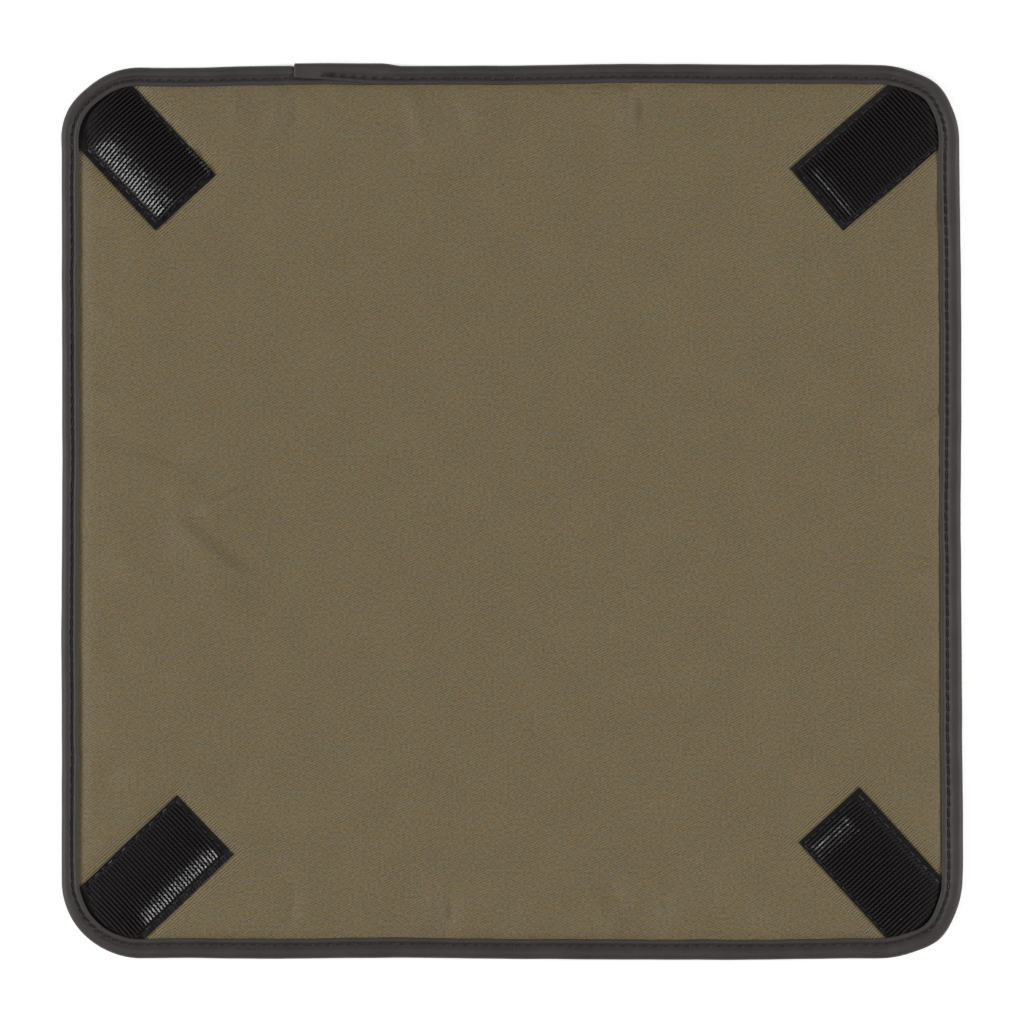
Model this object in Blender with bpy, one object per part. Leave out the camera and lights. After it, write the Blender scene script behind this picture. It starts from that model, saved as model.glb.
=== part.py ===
"""Padded wrap for a lens: a square of foam between two cloths, bound all round with tape.

A tab of hook tape is sewn across each corner of the inner face. The wrap lies open and flat, inner
face up, and each corner folds inward along a line at 45 degrees. +Z is up, +Y is the rear edge,
+X the right edge. The origin is under the middle of the wrap, on the surface that it lies on.
"""
import math

import bmesh
import bpy
from mathutils import Matrix, Vector

MM = 0.001

# Plan of the wrap
SIDE = 279.4 * MM                 # outside of the tape to outside of the tape, 11 inches
CORNER_RADIUS = 25.0 * MM         # of the outside of the tape
MIDDLE_RUN = 12.0 * MM            # of each edge between the two fold lines that meet it
FOLD_SLIT = 0.4 * MM              # between the two sides of a fold line
SIDE_STEP = 9.6 * MM              # between points along a straight edge
CORNER_STEPS = 8                  # round each corner

# Thickness of the layers, from the underside up
GAP = 0.3 * MM                    # between touching layers
OUTER_CLOTH = 0.5 * MM
FOAM = 3.2 * MM
FOAM_PINCHED = 1.0 * MM           # where the tape holds the foam flat
LINING = 0.4 * MM

# Edge tape, folded over the cut edges of the pad
TAPE = 0.5 * MM
TAPE_WIDTH = 6.0 * MM             # seen from above, and on the underside
TAPE_ROLL = 1.1 * MM              # radius of the fold round the edge
STITCH_INSET = 4.0 * MM           # from the outside edge to the stitched groove
TAPE_SWELL = 0.3 * MM             # of the tape outside the groove
TAPE_LIP = 0.15 * MM              # rise of the tape's inner edge
PAD_SETBACK = 0.7 * MM            # from the inside of the folded tape to the pad's cut edges

# Lap where the tape's two ends meet, on the rear edge
LAP_LEFT = -66.8 * MM
LAP_RIGHT = -39.5 * MM
LAP_OUTER = 0.8 * MM              # from the outside edge to the lap
LAP_OVERHANG = 0.4 * MM           # of the lap past the tape's inner edge

# Swell of the pad inside the tape
CROWN_WIDTH = 16.0 * MM           # from the tape to the full thickness
CROWN_SHARES = (0.25, 0.6, 1.0)   # rings of the swell, of its width
EASE_SHARE = 0.25                 # of the swell's width, where the underside comes down flat
PUCKER_DEPTH = 0.35 * MM
PUCKER_HALF = 8.0 * MM
PUCKER_SHARES = {                 # places along each edge, of the side, from its middle
    "rear": (-0.33, -0.15, 0.13, 0.20),
    "front": (-0.25, -0.08, 0.01, 0.12, 0.27),
    "right": (-0.20, -0.08, 0.06),
    "left": (-0.30, 0.03, 0.11),
}

# Hook tape tabs
TAB_WIDTH = 25.4 * MM             # 1 inch
TAB_BASE = 0.5 * MM
TAB_TUCK = 2.2 * MM               # from the wrap's outside edge to the tab's trimmed end
TAB_CROWN = 0.4 * MM              # of its middle between the two stitched edges
TAB_LENGTH_STEPS = 10
TAB_WIDTH_STEPS = 4
HOOK_PITCH = 1.17 * MM            # between rows along the tab
HOOK_HEIGHT = 1.0 * MM
HOOK_FOOT = 0.62 * MM             # width of a row where it leaves the base
HOOK_CREST = 0.34 * MM            # width of a row at its top
HOOK_SUNK = 0.25 * MM             # of a row in the base
HOOK_SIDE_MARGIN = 2.6 * MM       # bare edge on each side of the rows
HOOK_END_MARGIN = 3.0 * MM        # bare end, stitched down
TAB_PLACES = {                    # free end from the corner, sideways slip, lean of the tab
    "rear_left": (58.2 * MM, 3.9 * MM, -1.9),
    "rear_right": (62.5 * MM, 1.7 * MM, -4.4),
    "front_left": (61.5 * MM, 1.3 * MM, -1.4),
    "front_right": (61.7 * MM, 2.9 * MM, -2.6),
}

# Folding
FOLD_CLEARANCE = 1.3 * MM         # of a fold line's axis above the lining
OVERRUN = 2.0 * MM                # of a cutter past what it cuts

# Sizes that follow
HALF_SIDE = SIDE / 2
PAD_INSET = TAPE + PAD_SETBACK
FOAM_TOP = OUTER_CLOTH + GAP + FOAM
LINING_TOP = FOAM_TOP + GAP + LINING
TAPE_HEIGHT = 2 * TAPE + OUTER_CLOTH + FOAM_PINCHED + LINING + 4 * GAP
CROWN_START = TAPE_WIDTH + GAP
TAB_LIFT = TAB_BASE + GAP
AXIS_HEIGHT = LINING_TOP + FOLD_CLEARANCE
FOLD_REACH = HALF_SIDE + MIDDLE_RUN / 2
FOLD_DISTANCE = FOLD_REACH / math.sqrt(2)
CORNERS = {
    "rear_left": (-1, 1),
    "rear_right": (1, 1),
    "front_left": (-1, -1),
    "front_right": (1, -1),
}
EDGES = ("front", "right", "rear", "left")


def depth_inside(x, y):
    """Distance inward from the wrap's outside edge."""
    core = HALF_SIDE - CORNER_RADIUS
    past_x, past_y = abs(x) - core, abs(y) - core
    outside = math.hypot(max(past_x, 0), max(past_y, 0))
    return CORNER_RADIUS - outside - min(max(past_x, past_y), 0)


def crown_share(depth):
    """Share of the pad's full swell at a distance inside the edge."""
    t = min(max((depth - CROWN_START) / CROWN_WIDTH, 0), 1)
    return 1 - (1 - t) ** 2


def pucker(x, y):
    """Depth of the shallow puckers that the stitched tape draws into the cloth."""
    along_and_inward = {
        "rear": (x, HALF_SIDE - y),
        "front": (x, HALF_SIDE + y),
        "right": (y, HALF_SIDE - x),
        "left": (y, HALF_SIDE + x),
    }
    total = 0
    for edge, shares in PUCKER_SHARES.items():
        along, inward = along_and_inward[edge]
        t = min(max((inward - CROWN_START) / CROWN_WIDTH, 0), 1)
        fade = 4 * math.sqrt(t) * (1 - t) ** 2
        for share in shares:
            total += fade * math.exp(-((along - share * SIDE) / PUCKER_HALF) ** 2)
    return PUCKER_DEPTH * total


def outer_bottom(x, y):
    """Underside of the outer cloth: lifted over the tape at the edge, flat inside it."""
    t = min(max((depth_inside(x, y) - CROWN_START) / (CROWN_WIDTH * EASE_SHARE), 0), 1)
    return (TAPE + GAP) * (1 - t)


def outer_top(x, y):
    return outer_bottom(x, y) + OUTER_CLOTH


def foam_bottom(x, y):
    return outer_top(x, y) + GAP


def foam_top(x, y):
    """Top of the foam: pinched under the tape and swelling to its full height."""
    edge_top = TAPE + GAP + OUTER_CLOTH + GAP + FOAM_PINCHED
    return edge_top + (FOAM_TOP - edge_top) * crown_share(depth_inside(x, y)) - pucker(x, y)


def lining_bottom(x, y):
    return foam_top(x, y) + GAP


def lining_top(x, y):
    return lining_bottom(x, y) + LINING


def clear_scene():
    for old in list(bpy.data.objects):
        bpy.data.objects.remove(old, do_unlink=True)


def new_collection(name):
    collection = bpy.data.collections.new(name)
    bpy.context.scene.collection.children.link(collection)
    return collection


def add_object(name, data, collection):
    obj = bpy.data.objects.new(name, data)
    collection.objects.link(obj)
    return obj


def mesh_from(bm, name):
    bmesh.ops.recalc_face_normals(bm, faces=bm.faces)
    mesh = bpy.data.meshes.new(name)
    bm.to_mesh(mesh)
    bm.free()
    return mesh


def material(name, colour, roughness):
    """A plain dielectric finish."""
    finish = bpy.data.materials.new(name)
    finish.use_nodes = True
    shader = finish.node_tree.nodes["Principled BSDF"]
    shader.inputs["Base Color"].default_value = (*colour, 1)
    shader.inputs["Roughness"].default_value = roughness
    shader.inputs["Metallic"].default_value = 0
    return finish


def outline(inset):
    """Points round the wrap's outline drawn in by a distance, anticlockwise from its right edge.

    Each point lies straight inward of the same point of every other outline.
    """
    radius = max(CORNER_RADIUS - inset, GAP)
    core = HALF_SIDE - inset - radius
    steps = round(2 * (HALF_SIDE - CORNER_RADIUS) / SIDE_STEP)
    quarter = [Vector((core + radius, core * (2 * step / steps - 1))) for step in range(steps)]
    for step in range(CORNER_STEPS):
        angle = math.pi / 2 * step / CORNER_STEPS
        quarter.append(Vector((core + radius * math.cos(angle), core + radius * math.sin(angle))))
    turns = [Matrix.Rotation(turn * math.pi / 2, 2) for turn in range(4)]
    return [turn @ point for turn in turns for point in quarter]


def outline_loop(bm, inset):
    """A closed loop of edges along the outline, as a list."""
    verts = [bm.verts.new((point.x, point.y, 0)) for point in outline(inset)]
    return [bm.edges.new((vert, verts[number - 1])) for number, vert in enumerate(verts)]


def layer_mesh(name, top, bottom):
    """A closed sheet of the pad, ringed at the edge, whose two faces follow height functions."""
    bm = bmesh.new()
    loop = outline_loop(bm, PAD_INSET)
    for share in (0, *CROWN_SHARES):
        inner = outline_loop(bm, CROWN_START + share * CROWN_WIDTH)
        bmesh.ops.bridge_loops(bm, edges=loop + inner)
        loop = inner
    bmesh.ops.edgeloop_fill(bm, edges=loop)
    lower = list(bm.verts)
    raised = bmesh.ops.extrude_face_region(bm, geom=list(bm.faces), use_keep_orig=True)
    upper = [item for item in raised["geom"] if isinstance(item, bmesh.types.BMVert)]
    for vert in lower:
        vert.co.z = bottom(vert.co.x, vert.co.y)
    for vert in upper:
        vert.co.z = top(vert.co.x, vert.co.y)
    return mesh_from(bm, name)


def prism(name, corners, collection):
    """An upright cutter over a flat outline, taller than the wrap."""
    bm = bmesh.new()
    low = -OVERRUN
    high = AXIS_HEIGHT + OVERRUN
    base = bm.faces.new([bm.verts.new((x, y, low)) for x, y in corners])
    raised = bmesh.ops.extrude_face_region(bm, geom=[base], use_keep_orig=True)
    for item in raised["geom"]:
        if isinstance(item, bmesh.types.BMVert):
            item.co.z = high
    cutter = add_object(name, mesh_from(bm, name), collection)
    cutter.hide_render = True
    cutter.display_type = 'WIRE'
    return cutter


def boolean(obj, cutter, operation):
    step = obj.modifiers.new(cutter.name, 'BOOLEAN')
    step.operation = operation
    step.object = cutter
    step.solver = 'EXACT'


def region_cutters(collection):
    """The middle, its four short runs of edge, and the four corners, parted at the fold lines."""
    reach = HALF_SIDE + OVERRUN
    inner = FOLD_REACH - FOLD_SLIT / math.sqrt(2)
    outer = FOLD_REACH + FOLD_SLIT / math.sqrt(2)
    near = inner - reach
    octagon = [(reach, -near), (reach, near), (near, reach), (-near, reach),
               (-reach, near), (-reach, -near), (-near, -reach), (near, -reach)]
    cutters = {"centre": prism("centre_region", octagon, collection)}
    for name, (sx, sy) in CORNERS.items():
        triangle = [(sx * reach, sy * reach), (sx * (outer - reach), sy * reach),
                    (sx * reach, sy * (outer - reach))]
        cutters[name] = prism(name + "_region", triangle, collection)
    run_depth = HALF_SIDE - TAPE_WIDTH - OVERRUN
    for turns, name in enumerate(EDGES):
        wide = inner - run_depth
        run = [(near, -reach), (-near, -reach), (-wide, -run_depth), (wide, -run_depth)]
        spin = Matrix.Rotation(turns * math.pi / 2, 2)
        cutters[name] = prism(name + "_region", [spin @ Vector(point) for point in run], collection)
    return cutters


def fold_axis(sign_x, sign_y):
    """Direction of a fold line: turning about it lifts the corner and lays it inward."""
    outward = Vector((sign_x, sign_y, 0)).normalized()
    return outward.cross(Vector((0, 0, 1)))


def hinge_empties(collection):
    """One empty on each fold line, its X axis along the line."""
    hinges = {}
    for name, (sx, sy) in CORNERS.items():
        hinge = add_object("fold_" + name, None, collection)
        outward = Vector((sx, sy, 0)).normalized()
        axis = fold_axis(sx, sy)
        hinge.location = outward * FOLD_DISTANCE + Vector((0, 0, AXIS_HEIGHT))
        hinge.rotation_euler.z = math.atan2(axis.y, axis.x)
        hinges[name] = hinge
    bpy.context.view_layer.update()
    return hinges


def carry(obj, hinge):
    """Parent a piece to its fold line's empty and leave it where it lies."""
    obj.parent = hinge
    obj.matrix_parent_inverse = hinge.matrix_world.inverted()


def tape_profile():
    """Section of the folded tape: distance inward from the edge, and height."""
    outer = [
        (TAPE_WIDTH, TAPE_HEIGHT + TAPE_LIP),
        ((TAPE_WIDTH + STITCH_INSET) / 2, TAPE_HEIGHT + TAPE_LIP),
        (STITCH_INSET, TAPE_HEIGHT),
        ((STITCH_INSET + TAPE_ROLL) / 2, TAPE_HEIGHT + TAPE_SWELL),
    ]
    inner = [(TAPE_WIDTH, TAPE)]
    for centre_z, start in ((TAPE_HEIGHT - TAPE_ROLL, 90), (TAPE_ROLL, 180)):
        for turn in (0, 45, 90):
            angle = math.radians(start + turn)
            outer.append((TAPE_ROLL * (1 + math.cos(angle)), centre_z + TAPE_ROLL * math.sin(angle)))
    outer.append((TAPE_WIDTH, 0))
    inner_roll = TAPE_ROLL - TAPE
    for centre_z, start in ((TAPE_ROLL, 270), (TAPE_HEIGHT - TAPE_ROLL, 180)):
        for turn in (0, 90):
            angle = math.radians(start - turn)
            inner.append((TAPE_ROLL + inner_roll * math.cos(angle),
                          centre_z + inner_roll * math.sin(angle)))
    inner.append((TAPE_WIDTH, TAPE_HEIGHT - TAPE))
    return outer + inner


def lap_profile():
    """Section of the lapped end: it lies on the tape's upper side, folded to its contour."""
    above = [(LAP_OUTER, TAPE_HEIGHT), ((STITCH_INSET + TAPE_ROLL) / 2, TAPE_HEIGHT + TAPE_SWELL),
             (STITCH_INSET, TAPE_HEIGHT), ((TAPE_WIDTH + STITCH_INSET) / 2, TAPE_HEIGHT + TAPE_LIP),
             (TAPE_WIDTH + LAP_OVERHANG, TAPE_HEIGHT + TAPE_LIP)]
    low = [(inward, height + GAP) for inward, height in above]
    high = [(inward, height + GAP + TAPE) for inward, height in above]
    return low + high[::-1]


def edge_sweep(name, profile, cutters_collection):
    """Sweep a section right round the wrap's outside edge, as a closed mesh."""
    section = bpy.data.curves.new(name + "_section", 'CURVE')
    section.dimensions = '2D'
    spline = section.splines.new('POLY')
    spline.points.add(len(profile) - 1)
    for point, (inward, height) in zip(spline.points, profile):
        point.co = (-inward, height, 0, 1)
    spline.use_cyclic_u = True
    section_object = add_object(name + "_section", section, cutters_collection)

    path = bpy.data.curves.new(name + "_path", 'CURVE')
    path.dimensions = '3D'
    path.twist_mode = 'Z_UP'
    path.bevel_mode = 'OBJECT'
    path.bevel_object = section_object
    run = path.splines.new('POLY')
    places = outline(0)
    run.points.add(len(places) - 1)
    for point, place in zip(run.points, places):
        point.co = (place.x, place.y, 0, 1)
    run.use_cyclic_u = True
    path_object = add_object(name + "_path", path, cutters_collection)
    bpy.context.view_layer.update()
    evaluated = path_object.evaluated_get(bpy.context.evaluated_depsgraph_get())
    mesh = bpy.data.meshes.new_from_object(evaluated)
    bpy.data.objects.remove(path_object)
    bpy.data.objects.remove(section_object)
    bm = bmesh.new()
    bm.from_mesh(mesh)
    bmesh.ops.remove_doubles(bm, verts=bm.verts, dist=GAP / 100)
    bmesh.ops.recalc_face_normals(bm, faces=bm.faces)
    bm.to_mesh(mesh)
    bm.free()
    mesh.name = name
    return mesh


def tab_frame(name):
    """Place of a tab: origin at the middle of its free end, +X along it to its corner."""
    sx, sy = CORNERS[name]
    setback, slip, lean = TAB_PLACES[name]
    diagonal = math.atan2(sy, sx)
    along = Vector((math.cos(diagonal), math.sin(diagonal), 0))
    across = Vector((-along.y, along.x, 0))
    place = Vector((sx * HALF_SIDE, sy * HALF_SIDE, 0)) - along * setback + across * slip
    return Matrix.Translation(place) @ Matrix.Rotation(diagonal + math.radians(lean), 4, 'Z')


def lift_over_tabs(mesh):
    """Raise the tape's upper side where the four tabs run under it."""
    for vert in mesh.vertices:
        if vert.co.z < TAPE_HEIGHT / 2:
            continue
        sx, sy = math.copysign(1, vert.co.x), math.copysign(1, vert.co.y)
        corner = next(name for name, signs in CORNERS.items() if signs == (sx, sy))
        local = tab_frame(corner).inverted() @ vert.co
        past = abs(local.y) - TAB_WIDTH / 2 - TAPE_WIDTH / 2
        t = min(max(1 - past / TAPE_WIDTH, 0), 1)
        rise = (vert.co.z - TAPE_HEIGHT / 2) / (TAPE_HEIGHT / 2 - TAPE)
        vert.co.z += TAB_LIFT * t * t * (3 - 2 * t) * min(rise, 1)


def seat_on_lining(bm, frame, length):
    """Lay a tab's flat mesh on the lining, with its own slight crown between the stitched edges."""
    for vert in bm.verts:
        world = frame @ vert.co
        along = min(max(vert.co.x / length, 0), 1)
        across = min(abs(vert.co.y) / (TAB_WIDTH / 2), 1)
        crown = TAB_CROWN * (1 - across ** 2) * math.sin(math.pi * along)
        vert.co.z += lining_top(world.x, world.y) + GAP + crown


def tab_base_mesh(name, frame, length, reach):
    """The woven base of a tab, long enough to be trimmed to the corner."""
    bm = bmesh.new()
    bmesh.ops.create_grid(bm, x_segments=TAB_LENGTH_STEPS, y_segments=TAB_WIDTH_STEPS, size=0.5,
                          matrix=Matrix.Translation((0.5, 0, 0)))
    bmesh.ops.scale(bm, verts=bm.verts, vec=(reach, TAB_WIDTH, 1))
    raised = bmesh.ops.extrude_face_region(bm, geom=list(bm.faces), use_keep_orig=True)
    upper = [item for item in raised["geom"] if isinstance(item, bmesh.types.BMVert)]
    bmesh.ops.translate(bm, verts=upper, vec=(0, 0, TAB_BASE))
    seat_on_lining(bm, frame, length)
    return mesh_from(bm, name)


def hook_rows_mesh(name, frame, length, reach):
    """The rows of hooks across a tab, each a ridge that narrows towards its top."""
    bm = bmesh.new()
    half = TAB_WIDTH / 2 - HOOK_SIDE_MARGIN
    rows = int((reach - HOOK_END_MARGIN) / HOOK_PITCH)
    for row in range(rows):
        middle = HOOK_END_MARGIN + (row + 0.5) * HOOK_PITCH
        ridge = bmesh.ops.create_cube(bm, size=1)["verts"]
        for vert in ridge:
            width = HOOK_CREST if vert.co.z > 0 else HOOK_FOOT
            height = TAB_BASE + HOOK_HEIGHT if vert.co.z > 0 else TAB_BASE - HOOK_SUNK
            vert.co = (middle + vert.co.x * width, vert.co.y * 2 * half, height)
    lengthways = [edge for edge in bm.edges if edge.calc_length() > half]
    bmesh.ops.subdivide_edges(bm, edges=lengthways, cuts=1)
    seat_on_lining(bm, frame, length)
    return mesh_from(bm, name)


def build_layers(pieces, cutters, hinges, finishes):
    """The lining, foam and outer cloth, each parted at the fold lines."""
    layers = {
        "lining": (lining_top, lining_bottom),
        "foam": (foam_top, foam_bottom),
        "outer_cloth": (outer_top, outer_bottom),
    }
    for layer, (top, bottom) in layers.items():
        mesh = layer_mesh(layer, top, bottom)
        mesh.materials.append(finishes[layer])
        for region in ("centre", *CORNERS):
            piece = add_object(f"{layer}_{region}", mesh, pieces)
            boolean(piece, cutters[region], 'INTERSECT')
            if region in hinges:
                carry(piece, hinges[region])


def build_binding(pieces, helpers, cutters, hinges, finishes):
    """The edge tape in eight runs, parted at the fold lines, and the lap at its ends."""
    tape = edge_sweep("binding", tape_profile(), helpers)
    lift_over_tabs(tape)
    tape.materials.append(finishes["binding"])
    for region in (*EDGES, *CORNERS):
        piece = add_object("binding_" + region, tape, pieces)
        boolean(piece, cutters[region], 'INTERSECT')
        if region in hinges:
            carry(piece, hinges[region])
    lap = edge_sweep("binding_lap", lap_profile(), helpers)
    lap.materials.append(finishes["binding"])
    back = HALF_SIDE + OVERRUN
    front = HALF_SIDE - TAPE_WIDTH - OVERRUN
    ends = [(LAP_LEFT, front), (LAP_RIGHT, front), (LAP_RIGHT, back), (LAP_LEFT, back)]
    piece = add_object("binding_lap", lap, pieces)
    boolean(piece, prism("lap_region", ends, helpers), 'INTERSECT')
    carry(piece, hinges["rear_left"])


def build_tabs(pieces, helpers, hinges, finishes):
    """The four tabs of hook tape, trimmed under the edge tape."""
    trim = prism("tab_trim", outline(TAB_TUCK), helpers)
    field = prism("hook_field", outline(CROWN_START), helpers)
    for corner in CORNERS:
        frame = tab_frame(corner)
        reach = TAB_PLACES[corner][0]
        length = reach - CORNER_RADIUS * (math.sqrt(2) - 1) - TAPE_WIDTH
        rows = add_object("hook_rows_" + corner,
                          hook_rows_mesh("hook_rows_" + corner, frame, length, reach), helpers)
        rows.matrix_world = frame
        rows.hide_render = True
        rows.display_type = 'WIRE'
        boolean(rows, field, 'INTERSECT')
        base = tab_base_mesh("hook_tab_" + corner, frame, length, reach)
        base.materials.append(finishes["hook_tab"])
        tab = add_object("hook_tab_" + corner, base, pieces)
        tab.matrix_world = frame
        boolean(tab, trim, 'INTERSECT')
        boolean(tab, rows, 'UNION')
        carry(tab, hinges[corner])


def build():
    clear_scene()
    pieces = new_collection("padded_lens_wrap")
    helpers = new_collection("cutters")
    finishes = {
        "lining": material("lining_twill", (0.16, 0.13, 0.076), 0.85),
        "foam": material("foam_sheet", (0.06, 0.06, 0.06), 0.95),
        "outer_cloth": material("brushed_cloth", (0.14, 0.115, 0.07), 0.95),
        "binding": material("edge_tape", (0.052, 0.047, 0.044), 0.7),
        "hook_tab": material("hook_tape", (0.018, 0.017, 0.017), 0.35),
    }
    cutters = region_cutters(helpers)
    hinges = hinge_empties(pieces)
    build_layers(pieces, cutters, hinges, finishes)
    build_binding(pieces, helpers, cutters, hinges, finishes)
    build_tabs(pieces, helpers, hinges, finishes)


build()
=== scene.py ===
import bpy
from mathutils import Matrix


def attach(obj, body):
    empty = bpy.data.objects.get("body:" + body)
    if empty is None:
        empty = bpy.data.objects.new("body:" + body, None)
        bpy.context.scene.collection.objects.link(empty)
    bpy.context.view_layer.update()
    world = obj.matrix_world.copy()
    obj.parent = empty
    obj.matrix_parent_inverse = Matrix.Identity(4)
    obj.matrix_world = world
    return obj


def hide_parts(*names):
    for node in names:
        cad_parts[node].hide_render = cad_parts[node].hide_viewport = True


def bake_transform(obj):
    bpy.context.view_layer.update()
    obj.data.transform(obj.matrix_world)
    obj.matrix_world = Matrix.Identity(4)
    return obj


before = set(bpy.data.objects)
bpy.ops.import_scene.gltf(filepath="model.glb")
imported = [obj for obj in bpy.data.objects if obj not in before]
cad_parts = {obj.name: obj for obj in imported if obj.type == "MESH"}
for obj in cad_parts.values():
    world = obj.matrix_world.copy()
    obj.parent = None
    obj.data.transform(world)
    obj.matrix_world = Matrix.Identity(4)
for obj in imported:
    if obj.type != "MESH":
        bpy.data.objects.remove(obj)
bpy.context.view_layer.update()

import math

import bmesh
import bpy
import numpy as np
from mathutils import Matrix, Vector


# Outer cloth, the underside of the wrap. One square of nylon knit whose fine loops are brushed up,
# so that hook tape grips it anywhere. It is cut to the rounded outline and held by the edge tape.
MM = 0.001
HALF = 139.7 * MM                 # half of 11 inches, to the outside of the tape
CORNER_RADIUS = 25 * MM
CORNERS = {"rear_left": (-1, 1), "rear_right": (1, 1), "front_left": (-1, -1), "front_right": (1, -1)}
HALF_RUN = 6 * MM                 # from the middle of an edge to where a fold line meets it
FOLD_DISTANCE = (HALF + HALF_RUN) / math.sqrt(2)
BEND = 4 * MM                     # of cloth on each side of a fold line that turns with the corner
TAPE = 0.5 * MM
GAP = 0.3 * MM
OUTER_CLOTH = 0.5 * MM
CLOTH_INSET = 2.6 * MM            # of the cut edges inside the folded tape
CLOTH_CELL = 1.4 * MM
ARC_CUTS = 12                     # round each corner
SWELL_START = 6.3 * MM            # the pad swells from the tape inward
SWELL_WIDTH = 16 * MM
LIP_SWELL = 3.5 * MM              # half of the swell comes in this width
EASE_WIDTH = 4 * MM               # where the underside comes down flat
CUT_MAP = "cut_mm"                # each sheet's flat place in millimetres, for its weave


def srgb(code):
    """Linear colour of an sRGB hex code."""
    shares = [int(code[start:start + 2], 16) / 255 for start in (1, 3, 5)]
    return [s / 12.92 if s <= 0.04045 else ((s + 0.055) / 1.055) ** 2.4 for s in shares] + [1]


def new_finish(name):
    """A material with its node tree and its Principled shader."""
    finish = bpy.data.materials.new(name)
    finish.use_nodes = True
    return finish, finish.node_tree, finish.node_tree.nodes["Principled BSDF"]


def add(tree, kind, settings, joined=None):
    """A shader node with its settings and with the outputs that its inputs are joined to."""
    made = tree.nodes.new("ShaderNode" + kind)
    for key, value in settings.items():
        if isinstance(key, str) and key[0].islower():
            setattr(made, key, value)
        else:
            made.inputs[key].default_value = value
    for key, output in (joined or {}).items():
        tree.links.new(output, made.inputs[key])
    return made


def smooth(t):
    t = np.clip(t, 0, 1)
    return t * t * (3 - 2 * t)


def depth_inside(x, y):
    """Distance inward from the outside of the tape."""
    core = HALF - CORNER_RADIUS
    past_x, past_y = np.abs(x) - core, np.abs(y) - core
    outside = np.hypot(np.maximum(past_x, 0), np.maximum(past_y, 0))
    return CORNER_RADIUS - outside - np.minimum(np.maximum(past_x, past_y), 0)


def outer_bottom(x, y):
    return (TAPE + GAP) * (1 - smooth((depth_inside(x, y) - SWELL_START) / EASE_WIDTH))


def outer_top(x, y):
    return outer_bottom(x, y) + OUTER_CLOTH


def trim(bm, cuts):
    """Cut a flat mesh along lines: (direction, distance along it to keep)."""
    for direction, reach in cuts:
        across = Vector((*direction, 0)).normalized()
        bmesh.ops.bisect_plane(bm, geom=[*bm.verts, *bm.edges, *bm.faces], dist=1e-8,
                               plane_co=across * reach, plane_no=across, clear_outer=True)


def corner_cuts(corner, inset):
    """Lines that round off one corner of the outline, drawn in by an inset."""
    sx, sy = CORNERS[corner]
    core = HALF - CORNER_RADIUS
    cuts = []
    for step in range(ARC_CUTS):
        angle = math.pi / 2 * (step + 0.5) / ARC_CUTS
        reach = core * (math.cos(angle) + math.sin(angle)) + CORNER_RADIUS - inset
        cuts.append(((sx * math.cos(angle), sy * math.sin(angle)), reach))
    return cuts + [((sx, 0), HALF - inset), ((0, sy), HALF - inset)]


def flat_cloth(region, cell):
    """Flat cloth of the middle, or of a corner from just inside its fold line, as a fine grid."""
    bm = bmesh.new()
    cells = 2 * math.ceil(HALF / cell)
    bmesh.ops.create_grid(bm, x_segments=cells, y_segments=cells, size=cells * cell / 2)
    parting = HALF / math.sqrt(2)
    if region in CORNERS:
        sx, sy = CORNERS[region]
        trim(bm, [((-sx, -sy), -parting), *corner_cuts(region, CLOTH_INSET)])
    else:
        sides = [((1, 0), HALF), ((-1, 0), HALF), ((0, 1), HALF), ((0, -1), HALF)]
        trim(bm, [(signs, parting) for signs in CORNERS.values()])
        trim(bm, [(side, reach - CLOTH_INSET) for side, reach in sides])
    return bm


def closed_sheet(name, bm, top, bottom, finish, flat_place=None):
    """Thicken a flat mesh between two height functions. Returns the piece."""
    raised = bmesh.ops.extrude_face_region(bm, geom=list(bm.faces), use_keep_orig=True)
    upper = [item for item in raised["geom"] if isinstance(item, bmesh.types.BMVert)]
    bmesh.ops.translate(bm, verts=upper, vec=(0, 0, MM))
    bmesh.ops.recalc_face_normals(bm, faces=bm.faces)
    mesh = bpy.data.meshes.new(name)
    bm.verts.index_update()
    is_upper = np.zeros(len(bm.verts), bool)
    is_upper[[vert.index for vert in upper]] = True
    bm.to_mesh(mesh)
    bm.free()
    places = np.empty(len(mesh.vertices) * 3)
    mesh.vertices.foreach_get("co", places)
    places = places.reshape(-1, 3)
    x, y = places[:, 0], places[:, 1]
    places[:, 2] = np.where(is_upper, top(x, y), bottom(x, y))
    mesh.vertices.foreach_set("co", places.ravel())
    flat = places[:, :2] if flat_place is None else flat_place(x, y)
    corners = np.empty(len(mesh.loops), int)
    mesh.loops.foreach_get("vertex_index", corners)
    mesh.uv_layers.new(name=CUT_MAP).data.foreach_set("uv", (flat[corners] / MM).ravel())
    mesh.materials.append(finish)
    mesh.shade_smooth()
    mesh.set_sharp_from_angle(angle=math.radians(50))
    piece = bpy.data.objects.new(name, mesh)
    bpy.context.scene.collection.objects.link(piece)
    return piece


def follow_fold(piece, corner):
    """Bake a piece's placing into its mesh; nothing bends it across the corner's fold line.

    The two sides of that fold line are worked out, from the corner inward for the right ones, since
    opposite corners have the same half turn, but they are not used.
    """
    outward = Vector((*CORNERS[corner], 0)).normalized()
    inner = "centre", outward * (FOLD_DISTANCE - BEND)
    outer = "corner_" + corner, outward * (FOLD_DISTANCE + BEND)
    if corner in ("rear_right", "front_right"):
        inner, outer = outer, inner
    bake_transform(piece)


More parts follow.
